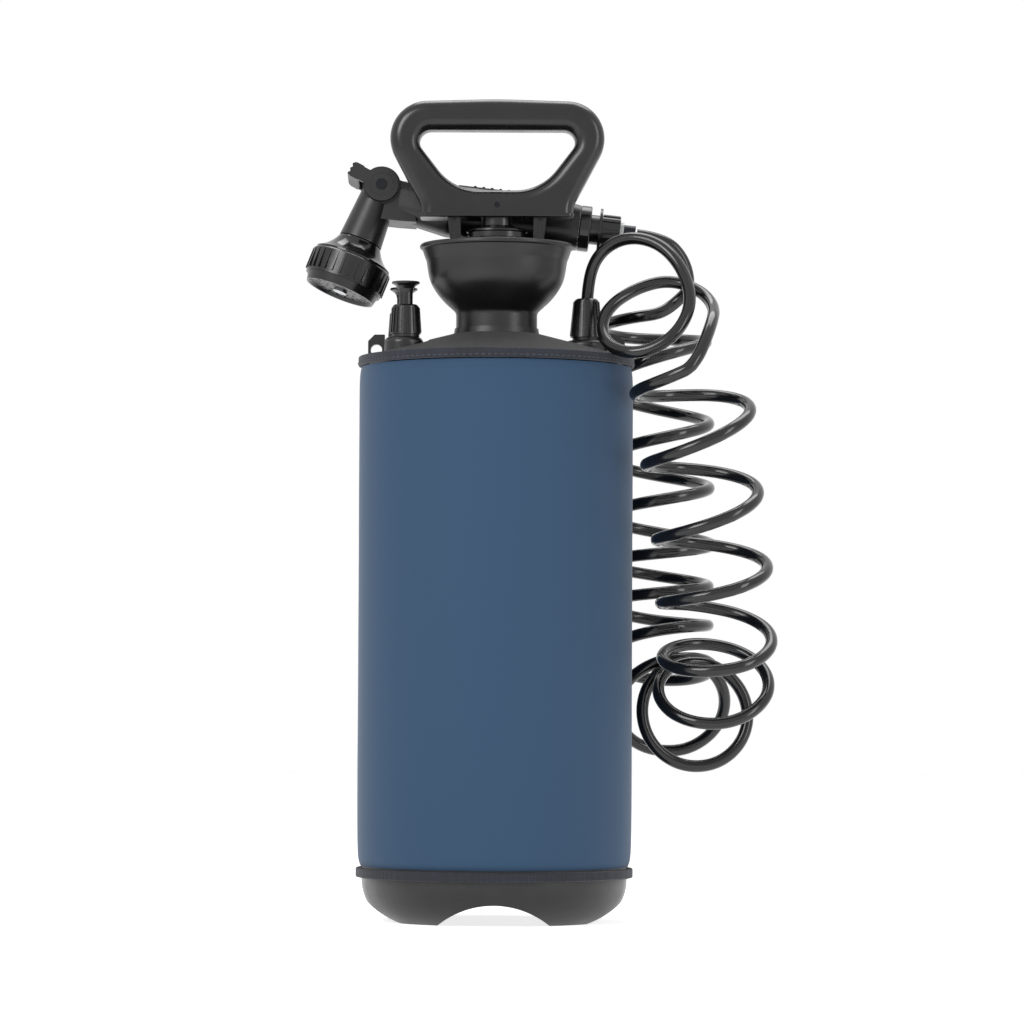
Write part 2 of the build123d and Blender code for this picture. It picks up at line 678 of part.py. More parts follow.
def make_handset():
    """Grip, pivot housing and head neck in one moulding."""
    left = loft([
        grip_section(GRIP_LEFT_END, GRIP_DEEP - 6, GRIP_HIGH - 8, GRIP_RISE + 3),
        grip_section(-GRIP_MID, GRIP_DEEP, GRIP_HIGH, GRIP_RISE),
    ])
    middle = extrude(grip_section(-GRIP_MID, GRIP_DEEP, GRIP_HIGH, GRIP_RISE), 2 * GRIP_MID)
    right = loft([
        grip_section(GRIP_MID, GRIP_DEEP, GRIP_HIGH, GRIP_RISE),
        grip_section(GRIP_RIGHT_END, GRIP_DEEP - 2, GRIP_HIGH - 5, 0),
    ])
    housing = Pos(PIVOT_X, 0, PIVOT_RISE) * Rot(90, 0, 0) * Cylinder(PIVOT_R, 2 * PIVOT_HALF)
    local_head = Pos(PIVOT_X, 0, PIVOT_RISE) * Rot(0, 180 + HEAD_TILT, 0)
    neck = local_head * Cone(
        HEAD_NECK_R - 3,
        HEAD_NECK_R,
        HEAD_NECK_L,
        align=(Align.CENTER, Align.CENTER, Align.MIN),
    )
    web_low = PIVOT_RISE - 24
    web = make_face(Polyline(
        (PIVOT_X, 0, PIVOT_RISE + 8),
        (GRIP_LEFT_END + 6, 0, GRIP_RISE + 14),
        (GRIP_LEFT_END + 14, 0, GRIP_RISE - 13),
        (GRIP_LEFT_END + 2, 0, web_low),
        (PIVOT_X - 2, 0, web_low),
        close=True,
    ))
    web = extrude(web, PIVOT_HALF - 1, both=True, dir=(0, 1, 0))
    bosses = Pos(PIVOT_X, 0, PIVOT_RISE) * Rot(90, 0, 0) * Cylinder(
        LEVER_BORE_R - RUNNING, 2 * (PIVOT_HALF + LEVER_THICK + HAIR)
    )
    body = left + middle + right + housing + neck + web + bosses
    recess = Pos(0, 0, GRIP_RISE + GRIP_HIGH / 2) * Box(2 * PAD_HALF, PAD_W, 2 * PAD_SINK)
    axle = Pos(PIVOT_X, 0, PIVOT_RISE) * Rot(90, 0, 0) * Cylinder(AXLE_R + HAIR / 2, 100)
    pocket_depth = 2 * LEVER_THICK
    pocket = Cylinder(LEVER_R + 2 * SEAT, pocket_depth) - Cylinder(LEVER_BORE_R - RUNNING, 2 * pocket_depth)
    at_pivot = Pos(PIVOT_X, 0, PIVOT_RISE) * Rot(90, 0, 0)
    for side in (-1, 1):
        body -= at_pivot * Pos(0, 0, side * (PIVOT_HALF + pocket_depth / 2)) * pocket
    return body - recess - axle


keep("handset_body", HANDSET * make_handset())


def make_grip_pad():
    """The soft insert in the top of the grip, with ridges for the fingers."""
    base = Pos(0, 0, GRIP_RISE + GRIP_HIGH / 2 - PAD_SINK / 2 + 0.3)
    base = base * Box(2 * PAD_HALF - 0.4, PAD_W - 0.4, PAD_SINK + 0.4)
    base = fillet(base.faces().sort_by(Axis.Z)[-1].edges(), 0.7)
    ridge = Rot(90, 0, 0) * Cylinder(1.3, PAD_W - 4)
    top = GRIP_RISE + GRIP_HIGH / 2 + 0.3
    return base + [Pos(x, 0, top) * ridge for x in range(-18, 19, 6)]


keep("grip_pad", HANDSET * make_grip_pad())
axle_l = 2 * (PIVOT_HALF + LEVER_THICK) + 1.0
axle = Cylinder(AXLE_R, axle_l)
keep("lever_axle", PIVOT * Rot(90, 0, 0) * axle)


def make_lever():
    """The flow lever: two cheek rings round the pivot and a ribbed pad across them."""
    cheek = Cylinder(LEVER_R, LEVER_THICK) - Cylinder(LEVER_BORE_R, 2 * LEVER_THICK)
    gap = PIVOT_HALF + HAIR + LEVER_THICK / 2
    arm_l = LEVER_PAD_OUT - LEVER_BORE_R
    arm = Pos(LEVER_BORE_R + arm_l / 2 + 1, 0, 0) * Box(arm_l - 2, 10, LEVER_THICK)
    pad_l = LEVER_PAD_OUT - LEVER_PAD_IN
    pad_w = 2 * (gap + LEVER_THICK / 2)
    pad = Pos((LEVER_PAD_IN + LEVER_PAD_OUT) / 2, 0, 0) * Box(pad_l, 11, pad_w)
    pad = fillet(pad.edges().filter_by(Axis.Z), 2.0)
    lever = pad
    for side in (-1, 1):
        lever += Pos(0, 0, side * gap) * (cheek + (arm - Cylinder(LEVER_BORE_R, 2 * LEVER_THICK)))
    ridge = Pos(LEVER_PAD_OUT, 0, 0) * Cylinder(1.2, pad_w - 4)
    lever += [Pos(0, y, 0) * ridge for y in (-3.6, 0, 3.6)]
    return Rot(90, 0, 0) * Rot(0, 0, LEVER_PAD_ANGLE) * lever


keep("thumb_lever", PIVOT * make_lever())

# Shower head, drawn along +Z from the pivot
SKIRT_LOW = HEAD_NECK_L + HAIR
DIAL_LOW = SKIRT_LOW + SKIRT_L + SEAT
skirt_lines = [
    Line((0, 0, SKIRT_LOW), (HEAD_NECK_R - 0.6, 0, SKIRT_LOW)),
    Line((HEAD_NECK_R - 0.6, 0, SKIRT_LOW), (HEAD_NECK_R + 0.4, 0, SKIRT_LOW + 1.5)),
    ThreePointArc(
        (HEAD_NECK_R + 0.4, 0, SKIRT_LOW + 1.5),
        ((HEAD_NECK_R + DIAL_R) / 2 - 0.8, 0, SKIRT_LOW + SKIRT_L * 0.62),
        (DIAL_R - 1.4, 0, SKIRT_LOW + SKIRT_L - 1.2),
    ),
    Line((DIAL_R - 1.4, 0, SKIRT_LOW + SKIRT_L - 1.2), (DIAL_R - 1.4, 0, SKIRT_LOW + SKIRT_L)),
    Line((DIAL_R - 1.4, 0, SKIRT_LOW + SKIRT_L), (SPIGOT_R, 0, SKIRT_LOW + SKIRT_L)),
    Line((SPIGOT_R, 0, SKIRT_LOW + SKIRT_L), (SPIGOT_R, 0, DIAL_LOW + 12)),
    Line((SPIGOT_R, 0, DIAL_LOW + 12), (0, 0, DIAL_LOW + 12)),
    Line((0, 0, DIAL_LOW + 12), (0, 0, SKIRT_LOW)),
]
skirt = revolve(make_face(Wire(skirt_lines)), Axis.Z)
skirt -= post(SCREW_R + HAIR / 2, DIAL_LOW, DIAL_LOW + 13)
keep("head_skirt", HEAD * skirt)
FACE_LOW = DIAL_LOW + DIAL_L - FACE_RECESS - FACE_THICK


def make_dial():
    """The turning spray dial: ribbed band, plain band and an open recess for the face."""
    bottom_r = DIAL_R - 1.1
    step_r = bottom_r - 1.3
    dial = turned([
        (SPIGOT_R + RUNNING, DIAL_LOW),
        (DIAL_R - 1.2, DIAL_LOW),
        (DIAL_R, DIAL_LOW + 1.2),
        (bottom_r, DIAL_LOW + DIAL_BAND_L),
        (step_r, DIAL_LOW + DIAL_BAND_L),
        (DIAL_RIM_R, DIAL_LOW + DIAL_L),
        (DIAL_RIM_R - 1.4, DIAL_LOW + DIAL_L),
        (FACE_R + HAIR, FACE_LOW + FACE_THICK),
        (FACE_R + HAIR, DIAL_LOW + 3),
        (SPIGOT_R + RUNNING, DIAL_LOW + 3),
    ])
    rib = Pos(DIAL_R - 0.6, 0, DIAL_LOW + DIAL_BAND_L / 2) * Box(1.8, 1.5, DIAL_BAND_L - 4)
    return dial + around(rib, DIAL_RIBS)


def make_face_plate():
    """The spray face: a plate with a raised centre, two rings of slots and a screw hole."""
    plate = ring(0, FACE_R, FACE_LOW, FACE_LOW + FACE_THICK)
    outer_slot = Pos(17.5, 0, FACE_LOW) * Box(4.4, 1.6, 4 * FACE_THICK)
    inner_hole = Pos(10.5, 0, FACE_LOW) * Cylinder(1.0, 4 * FACE_THICK)
    plate -= around(outer_slot, 18)
    plate -= around(inner_hole, 10, 9)
    return plate - post(SCREW_R + RUNNING, FACE_LOW - 1, FACE_LOW + FACE_THICK + 1)


keep("spray_dial", HEAD * make_dial())
keep("spray_face", HEAD * make_face_plate())
screw_top = FACE_LOW + FACE_THICK + 0.2
screw = post(SCREW_R, DIAL_LOW + 4, screw_top + 0.5) + ring(0, 5.0, screw_top, screw_top + 1.6)
keep("face_screw", HEAD * screw)
keep("dial_seal", HEAD * ring(4.0, 8.0, DIAL_LOW + 12 + HAIR, FACE_LOW - SEAT))


# Hose coupling at the other end of the handset, drawn along +Z of the coupling frame
end_cap = ring(0, END_CAP_R, GRIP_RIGHT_END + HAIR, GRIP_RIGHT_END + HAIR + END_CAP_L)
end_cap = fillet(end_cap.edges(), 1.0)
keep("grip_end_cap", COUPLING * end_cap)
neck_low = GRIP_RIGHT_END + 2 * HAIR + END_CAP_L
flange_low = neck_low + COUPLING_NECK_L
nut_low = flange_low + COUPLING_FLANGE_L + HAIR
connector = ring(0, COUPLING_NECK_R, neck_low, flange_low)
connector += ring(0, COUPLING_FLANGE_R, flange_low, flange_low + COUPLING_FLANGE_L)
keep("connector_body", COUPLING * connector)
nut = ring(HOSE_R + 1, COUPLING_NUT_R - 0.7, nut_low, nut_low + COUPLING_NUT_L)
nut_rib = Pos(COUPLING_NUT_R - 0.9, 0, nut_low + COUPLING_NUT_L / 2) * Box(1.8, 2.4, COUPLING_NUT_L - 1)
keep("connector_nut", COUPLING * (nut + around(nut_rib, 12)))
collar_z = nut_low + COUPLING_NUT_L + HAIR
keep("connector_collar", COUPLING * ring(0, COLLAR_R, collar_z, collar_z + COLLAR_L))
ferrule_z = collar_z + COLLAR_L + HAIR
keep("hose_ferrule", COUPLING * ring(0, FERRULE_R, ferrule_z, ferrule_z + FERRULE_L))
hose_end_l = ferrule_z + FERRULE_L


def make_rest():
    """A clip on the funnel's rear rim whose top is a saddle for the handset's grip."""
    wall = 2.2
    low = FUNNEL_TOP_Z + SEAT
    hook = FUNNEL_RIM_R + SEAT
    profile = [
        (46.5, low),
        (hook, low),
        (hook, low - 6),
        (hook + wall, low - 6),
        (hook + wall, low + 24),
        (hook + wall - 3, low + 24),
        (hook + wall - 3, low + 12),
        (46.5, low + 12),
    ]
    face = make_face(Polyline(*[(r, 0, z) for r, z in profile], close=True))
    arc = Rot(0, 0, 62) * revolve(face, Axis.Z, 56)
    room = grip_section(-2 * GRIP_MID, GRIP_DEEP + 2 * SEAT, GRIP_HIGH + 2 * SEAT, GRIP_RISE)
    return arc - HANDSET * extrude(room, 4 * GRIP_MID)


keep("handset_rest", make_rest())


# Hose: one route from the outlet through the coil to the handset
def rounded_path(points, largest=None):
    """Straight runs joined by arcs, each as large as its two runs allow."""
    vectors = [Vector(*p) for p in points]
    radii = []
    for before, here, after in zip(vectors, vectors[1:], vectors[2:]):
        shorter = min((here - before).length, (after - here).length)
        half_turn = math.radians((here - before).get_angle(after - here)) / 2
        radius = 0.45 * shorter / math.tan(half_turn)
        radii.append(min(radius, largest) if largest else radius)
    return FilletPolyline(*points, radius=radii), radii


def hose_run(name, points):
    path, radii = rounded_path(points)
    section = Plane(path @ 0, z_dir=path % 0) * Circle(HOSE_R)
    tube = sweep(section, path=path)
    share = tube.volume / (math.pi * HOSE_R**2 * path.length)
    print(name, "length", round(path.length, 1), "radii", [round(r, 1) for r in radii])
    print(name, "volume over section times length", round(share, 4))
    keep(name, tube)
    return path.length


OUTLET_ROUTE = [
    (OUTLET_X, 0, HOSE_SEAT_Z),
    (OUTLET_X, 0, 441),
    (70, -5, 464),
    (90, -15, 475),
    (113, -27, 469),
    (129, -38, 449),
    (132, -48, 424),
    (121, -58, 402),
    (103, -65, 389.5),
    (83, -61, 390.5),
    (73, -47, 405),
    (78, -31, 424),
    (97, -18, 439),
    (121, -12, 445),
    (141, -19, 437),
    (150, -36, 424),
    (146, -58, 413),
]
COIL_ROUTE = [
    (129.5, -55.0, 384.0),
    (145.0, -37.0, 300.0),
    (159.0, -6.0, 142.0),
    (112.0, 88.0, 142.0),
    (117.5, 86.0, 330.0),
    (111.0, 88.0, 415.0),
]
coil_path, coil_radii = rounded_path(COIL_ROUTE)
coil_start = coil_path @ 0
coil_end = coil_path @ 1
print("coil path", round(coil_path.length, 1), "radii", [round(r, 1) for r in coil_radii])
outer_skin = sweep(Plane(coil_start, z_dir=coil_path % 0) * Circle(COIL_R), path=coil_path)
inner_skin = sweep(Plane(coil_start, z_dir=coil_path % 0) * Circle(COIL_R - COIL_WALL), path=coil_path)
keep("hose_coil", outer_skin - inner_skin)


def on_wall(end, toward, away):
    """A point on the middle of the coil tube's wall at one end, towards a point."""
    side = Vector(*toward) - end
    side = side - away * side.dot(away)
    return end + side.normalized() * (COIL_R - HOSE_R)


coil_in = coil_path % 0
coil_out = coil_path % 1
enter = on_wall(coil_start, (137, -120, 384), coil_in)
leave = on_wall(coil_end, (121, 40, 415), coil_out)
hose_tip = (COUPLING * Pos(0, 0, hose_end_l)).position
hose_out = (COUPLING * Pos(0, 0, hose_end_l + 20)).position
HANDSET_ROUTE = [
    tuple(hose_tip),
    tuple(hose_out),
    (132.5, 43, 465),
    (137, 48, 445),
    tuple(leave + coil_out * 13),
    tuple(leave),
]
hose_run("hose_outlet_run", OUTLET_ROUTE + [tuple(enter - coil_in * 18), tuple(enter)])
hose_run("hose_handset_run", HANDSET_ROUTE)

print("pivot", tuple(PIVOT.position))
print("lever axis", (PIVOT * Pos(0, 1, 0)).position - PIVOT.position)
print("head axis", (HEAD * Pos(0, 0, 1)).position - HEAD.position)
print("nodes", len(nodes))
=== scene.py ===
# %% [markdown]
# # A portable pressure shower
# The object is a camp shower: a black pressure tank in a blue knitted sleeve, with a hand pump,
# a filling funnel, two relief valves, a coiled hose and a handset that lies behind the handle.
# The CAD model is loaded first, because everything that is added here has to sit on it.

# %% Load the CAD model
import math

import bpy
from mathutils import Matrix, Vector


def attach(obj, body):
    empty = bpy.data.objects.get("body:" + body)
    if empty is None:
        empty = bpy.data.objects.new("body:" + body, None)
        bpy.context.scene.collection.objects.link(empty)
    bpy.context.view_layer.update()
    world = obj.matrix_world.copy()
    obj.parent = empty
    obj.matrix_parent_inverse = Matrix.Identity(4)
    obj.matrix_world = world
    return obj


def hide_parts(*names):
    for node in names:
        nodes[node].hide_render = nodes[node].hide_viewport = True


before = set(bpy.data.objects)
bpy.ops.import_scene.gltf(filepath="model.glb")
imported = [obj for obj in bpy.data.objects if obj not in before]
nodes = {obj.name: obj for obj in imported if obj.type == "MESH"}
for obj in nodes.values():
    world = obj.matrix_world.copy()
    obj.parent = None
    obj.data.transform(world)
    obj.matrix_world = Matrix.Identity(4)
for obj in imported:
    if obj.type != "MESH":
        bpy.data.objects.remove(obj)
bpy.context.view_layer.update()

bpy.ops.object.select_all(action="DESELECT")
print("CAD nodes:", len(nodes))

# %% [markdown]
# ## Camera
# The photograph was taken from about three metres, from just under the middle of the tank, so
# its upright edges stay parallel. A long lens at that distance gives the same calm perspective.
# The picture leans by a quarter of a degree, and the camera is rolled to lean with it.

# %% Camera
PHOTO_PX = 1024
MM_PER_PX = 0.6947
CAMERA_DISTANCE = 3.0
CAMERA_HEIGHT = 0.153
AIM = Vector((0.0113, 0.0, 0.2836))
CAMERA_ROLL = 0.25
SENSOR_MM = 36.0

camera_data = bpy.data.cameras.new("camera")
camera_data.sensor_width = SENSOR_MM
camera_data.lens = SENSOR_MM * CAMERA_DISTANCE * 1000 / (MM_PER_PX * PHOTO_PX)
camera = bpy.data.objects.new("camera", camera_data)
bpy.context.collection.objects.link(camera)
camera.location = (AIM.x, -CAMERA_DISTANCE, CAMERA_HEIGHT)
camera.rotation_euler = (AIM - camera.location).to_track_quat("-Z", "Y").to_euler()
camera.rotation_euler.rotate_axis("Z", math.radians(CAMERA_ROLL))
bpy.context.scene.camera = camera
print("lens", round(camera_data.lens, 1), "mm")

# %% [markdown]
# ## The hose
# The hose is one long black tube. It leaves the outlet nut, makes a loop beside the funnel, winds
# down into a loose coil, comes up again behind it and ends in the handset. It is a single NURBS
# curve with a round bevel: its first and last stretches go by listed points, and the
# coil's turns are worked out round a second, unseen curve that marks the middle of the coil.

# %% The middle line of the coil
COIL_ROUTE = [
    (0.1285, -0.057, 0.392),
    (0.145, -0.037, 0.300),
    (0.159, -0.006, 0.142),
    (0.112, 0.088, 0.142),
    (0.1175, 0.086, 0.330),
    (0.111, 0.088, 0.427),
]


def nurbs(name, points, radius=0.0, resolution=12):
    """A smooth curve through space, with a round section if it has a radius."""
    data = bpy.data.curves.new(name, "CURVE")
    data.dimensions = "3D"
    data.resolution_u = resolution
    spline = data.splines.new("NURBS")
    spline.points.add(len(points) - 1)
    for point, place in zip(spline.points, points):
        point.co = (*place, 1.0)
    spline.order_u = 3
    spline.use_endpoint_u = True
    data.bevel_depth = radius
    data.bevel_resolution = 6
    data.use_fill_caps = radius > 0
    curve = bpy.data.objects.new(name, data)
    bpy.context.collection.objects.link(curve)
    return curve


def line_points(curve):
    """The points of a curve with no bevel, in order."""
    mesh = bpy.data.meshes.new_from_object(curve)
    places = [v.co.copy() for v in mesh.vertices]
    bpy.data.meshes.remove(mesh)
    return places


coil_axis = nurbs("coil_axis", COIL_ROUTE, resolution=40)
axis_points = line_points(coil_axis)
bpy.data.objects.remove(coil_axis)
axis_at = [0.0]
for before, after in zip(axis_points, axis_points[1:]):
    axis_at.append(axis_at[-1] + (after - before).length)
AXIS_LENGTH = axis_at[-1]
print("coil axis", round(AXIS_LENGTH, 3), "m")

# %% [markdown]
# ## The coil's turns
# A hanging coil is never a perfect spring: it opens under its own weight at the top and packs
# together at the bottom. The list gives where along the axis each count of turns is reached,
# so the pitch changes from turn to turn, and the radius wanders a little too.

# %% Turns of the coil
COIL_R = 0.0382
WANDER_FAST = 0.0005
WANDER_SLOW = 0.0007
POINTS_PER_TURN = 14
EASE_STEP = 0.1
TURNS_AT = [
    (0.23, 0.0),
    (0.50, 0.0295),
    (1.00, 0.045),
    (1.50, 0.0763),
    (2.00, 0.105),
    (2.50, 0.1297),
    (3.00, 0.159),
    (3.50, 0.1737),
    (4.00, 0.2098),
    (4.50, 0.2203),
    (5.00, 0.2363),
    (8.875, 0.3853),
    (9.875, 0.4153),
    (10.875, 0.4443),
    (11.875, 0.4853),
    (12.875, 0.5303),
    (13.875, 0.5923),
    (14.65, 0.6097),
]
LENGTH_SCALE = AXIS_LENGTH / TURNS_AT[-1][1]


def axis_length_at(turns):
    """Distance along the axis at which a number of turns is reached."""
    for (t0, s0), (t1, s1) in zip(TURNS_AT, TURNS_AT[1:]):
        if turns <= t1:
            return (s0 + (s1 - s0) * (turns - t0) / (t1 - t0)) * LENGTH_SCALE
    return AXIS_LENGTH


def smooth_length_at(turns):
    """The same, eased over two fifths of a turn so that the pitch has no kinks."""
    first, last = TURNS_AT[0][0], TURNS_AT[-1][0]
    spread = [max(first, min(last, turns + step * EASE_STEP)) for step in (-2, -1, 0, 1, 2)]
    return sum(axis_length_at(t) for t in spread) / len(spread)


def frames_along(points, side):
    """A direction and a side vector at each point, carried along without twist."""
    made = []
    for i, point in enumerate(points):
        ahead = points[min(i + 1, len(points) - 1)]
        behind = points[max(i - 1, 0)]
        way = (ahead - behind).normalized()
        side = (side - way * side.dot(way)).normalized()
        made.append((way, side))
    return made


axis_frames = frames_along(axis_points, Vector((1, 0, 0)))


def on_axis(length):
    """Point, direction and side vector at a length along the axis."""
    i = 0
    while i < len(axis_at) - 2 and axis_at[i + 1] < length:
        i += 1
    share = (length - axis_at[i]) / (axis_at[i + 1] - axis_at[i])
    place = axis_points[i].lerp(axis_points[i + 1], min(max(share, 0.0), 1.0))
    return place, *axis_frames[i]


turn_points = []
steps = int((TURNS_AT[-1][0] - TURNS_AT[0][0]) * POINTS_PER_TURN)
for step in range(steps + 1):
    turns = TURNS_AT[0][0] + (TURNS_AT[-1][0] - TURNS_AT[0][0]) * step / steps
    place, way, side = on_axis(smooth_length_at(turns))
    angle = 2 * math.pi * turns
    up = way.cross(side)
    radius = COIL_R + WANDER_SLOW * math.sin(turns * 1.9) - WANDER_FAST * math.cos(turns * 3.1)
    turn_points.append(place + radius * (math.cos(angle) * side + math.sin(angle) * up))
print("coil turns", round(TURNS_AT[-1][0] - TURNS_AT[0][0], 2), "points", len(turn_points))

# %% [markdown]
# ## One curve from outlet to handset
# The chosen points, the turns and the last stretch make one curve. Its middle line gives the
# length, and then the curve is turned into a mesh.

# %% The whole hose
HOSE_D = 0.0085
OUTLET_ROUTE = [
    (0.0625, 0.0, 0.4113),
    (0.0625, 0.0, 0.441),
    (0.070, -0.005, 0.464),
    (0.090, -0.015, 0.475),
    (0.113, -0.027, 0.469),
    (0.129, -0.038, 0.449),
    (0.134, -0.056, 0.424),
    (0.123, -0.067, 0.402),
    (0.103, -0.066, 0.390),
    (0.083, -0.056, 0.391),
    (0.071, -0.040, 0.404),
    (0.076, -0.025, 0.424),
    (0.097, -0.014, 0.439),
    (0.120, -0.012, 0.445),
    (0.141, -0.020, 0.437),
    (0.150, -0.039, 0.424),
    (0.147, -0.070, 0.410),
]
HANDSET_ROUTE = [
    (0.127, 0.054, 0.4350),
    (0.137, 0.048, 0.445),
    (0.1325, 0.043, 0.465),
    (0.1184, 0.0398, 0.4793),
    (0.0985, 0.0395, 0.4816),
]
hose_points = [Vector(p) for p in OUTLET_ROUTE] + turn_points + [Vector(p) for p in HANDSET_ROUTE]
hose = nurbs("hose", hose_points, HOSE_D / 2)
hose_line = nurbs("hose_line", hose_points)
hose_places = line_points(hose_line)
bpy.data.objects.remove(hose_line)
HOSE_LENGTH = sum((b - a).length for a, b in zip(hose_places, hose_places[1:]))
print("hose length", round(HOSE_LENGTH, 3), "m")
bpy.ops.object.select_all(action="DESELECT")
hose.select_set(True)
bpy.context.view_layer.objects.active = hose
bpy.ops.object.convert(target="MESH")
hose = bpy.context.object
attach(hose, "tank")
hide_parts("hose_outlet_run", "hose_coil", "hose_handset_run")

# %% [markdown]
# ## Colours and shader nodes
# Colours are written as the hex values a screen shows and turned to the linear values that
# Blender mixes. One helper adds a node, sets it up and joins its inputs, so that each finish
# below reads as a short list of what the surface is made of.

# %% Helpers for materials
def linear(hex_colour):
    """An sRGB hex colour as linear red, green, blue and full alpha."""
    parts = [int(hex_colour[i : i + 2], 16) / 255 for i in (1, 3, 5)]
    return (*[p / 12.92 if p <= 0.04045 else ((p + 0.055) / 1.055) ** 2.4 for p in parts], 1.0)


def add_node(tree, kind, inputs=None, **settings):
    """One node with its settings, its values and its incoming links."""
    made = tree.nodes.new(kind)
    for name, value in settings.items():
        setattr(made, name, value)
    for name, value in (inputs or {}).items():
        if isinstance(value, bpy.types.NodeSocket):
            tree.links.new(value, made.inputs[name])
        else:
            made.inputs[name].default_value = value
    return made


def new_finish(name, roughness, **values):
    """A material with its shader, to which a finish adds its own nodes."""
    material = bpy.data.materials.new(name)
    material.use_nodes = True
    tree = material.node_tree
    shader = tree.nodes["Principled BSDF"]
    shader.inputs["Roughness"].default_value = roughness
    for socket, value in values.items():
        shader.inputs[socket.replace("_", " ")].default_value = value
    return material, tree, shader


def mottled(tree, place, scale_mm, dark, light, detail=4.0):
    """A soft noise between two colours whose patches are about scale_mm across."""
    noise = add_node(
        tree,
        "ShaderNodeTexNoise",
        {"Vector": place, "Scale": 1000 / scale_mm, "Detail": detail},
    )
    ramp = add_node(tree, "ShaderNodeValToRGB", {"Fac": noise.outputs["Fac"]})
    ramp.color_ramp.elements[0].position = 0.35
    ramp.color_ramp.elements[0].color = linear(dark)
    ramp.color_ramp.elements[1].position = 0.65
    ramp.color_ramp.elements[1].color = linear(light)
    return ramp.outputs["Color"]


def grain(tree, place, scale_mm, depth_mm):
    """A fine bump of a real grain size and depth."""
    noise = add_node(
        tree,
        "ShaderNodeTexNoise",
        {"Vector": place, "Scale": 1000 / scale_mm, "Detail": 2.0},
    )
    values = {"Height": noise.outputs["Fac"], "Strength": 1.0, "Distance": depth_mm / 1000}
    return add_node(tree, "ShaderNodeBump", values).outputs["Normal"]


def varied_roughness(tree, place, scale_mm, low, high):
    """Roughness that wanders as handling and moulding leave it."""
    noise = add_node(
        tree,
        "ShaderNodeTexNoise",
        {"Vector": place, "Scale": 1000 / scale_mm, "Detail": 3.0},
    )
    spread = add_node(
        tree,
        "ShaderNodeMapRange",
        {
            "Value": noise.outputs["Fac"],
            "From Min": 0.3,
            "From Max": 0.7,
            "To Min": low,
            "To Max": high,
        },
    )
    return spread.outputs["Result"]


# %% [markdown]
# ## Moulded plastics
# Handle, funnel, caps and handset are injection-moulded plastic. The moulds are spark-eroded to a
# fine satin on the working parts and polished on the shower head, so the same black needs two
# gloss levels. The tank is blow-moulded polyethylene, which is a little greyer and waxy.

# %% Plastic finishes
def moulded(name, dark, light, rough_low, rough_high, grain_mm, grain_depth, **values):
    """A moulded plastic with faint colour change, grain and handling marks."""
    material, tree, shader = new_finish(name, rough_high, **values)
    place = add_node(tree, "ShaderNodeTexCoord").outputs["Object"]
    colour = mottled(tree, place, 14.0, dark, light)
    tree.links.new(colour, shader.inputs["Base Color"])
    roughness = varied_roughness(tree, place, 22.0, rough_low, rough_high)
    tree.links.new(roughness, shader.inputs["Roughness"])
    tree.links.new(grain(tree, place, grain_mm, grain_depth), shader.inputs["Normal"])
    return material


satin_black = moulded("polypropylene_satin_black", "#0B0B0C", "#101011", 0.30, 0.42, 1.1, 0.05)
gloss_black = moulded("abs_polished_black", "#0F0F11", "#141416", 0.10, 0.20, 6.0, 0.03)
semi_gloss_black = moulded("abs_semi_gloss_black", "#0C0C0D", "#111112", 0.20, 0.30, 3.0, 0.03)
tank_black = moulded("polyethylene_waxy_black", "#0D0D0F", "#131315", 0.28, 0.40, 2.0, 0.08)
pale_nylon = moulded("nylon_natural_white", "#C9CACB", "#DDDEDE", 0.30, 0.42, 1.5, 0.03)
rubber_black = moulded("nitrile_rubber_black", "#161617", "#1C1C1D", 0.55, 0.7, 0.8, 0.04)
hose_black = moulded("polyurethane_gloss_black", "#0E0E0F", "#131315", 0.10, 0.19, 9.0, 0.04)
print("plastics ready")

# %% [markdown]
# ## Metals
# The springs and the screw are stainless steel, and the ferrule on the hose, the rod pin and the
# lever axle are anodised.

# %% Metal finishes
def metal(name, colour, low, high, grain_mm):
    """A worked metal whose roughness follows its fine scratches."""
    material, tree, shader = new_finish(name, high, Metallic=1.0, Base_Color=linear(colour))
    place = add_node(tree, "ShaderNodeTexCoord").outputs["Object"]
    tree.links.new(varied_roughness(tree, place, grain_mm, low, high), shader.inputs["Roughness"])
    tree.links.new(grain(tree, place, grain_mm, 0.01), shader.inputs["Normal"])
    return material


stainless = metal("stainless_steel_drawn", "#B9BBBE", 0.18, 0.34, 0.8)
dark_anodised = metal("aluminium_anodised_black", "#2A2B2E", 0.24, 0.36, 0.8)

# %% [markdown]
# ## Fabrics
# The sleeve is a fine weft knit bonded to thin foam, the tapes are a tight twill, and the top
# panel is a plain woven black cloth. Real stitches are about half a millimetre, finer than the
# picture shows, so they are drawn at about one millimetre.

# %% Fabric finishes
WAVE_UNIT = 6.2832
WAVE_WARP = {"Distortion": 0.4, "Detail": 1.0, "Detail Scale": 3.0}


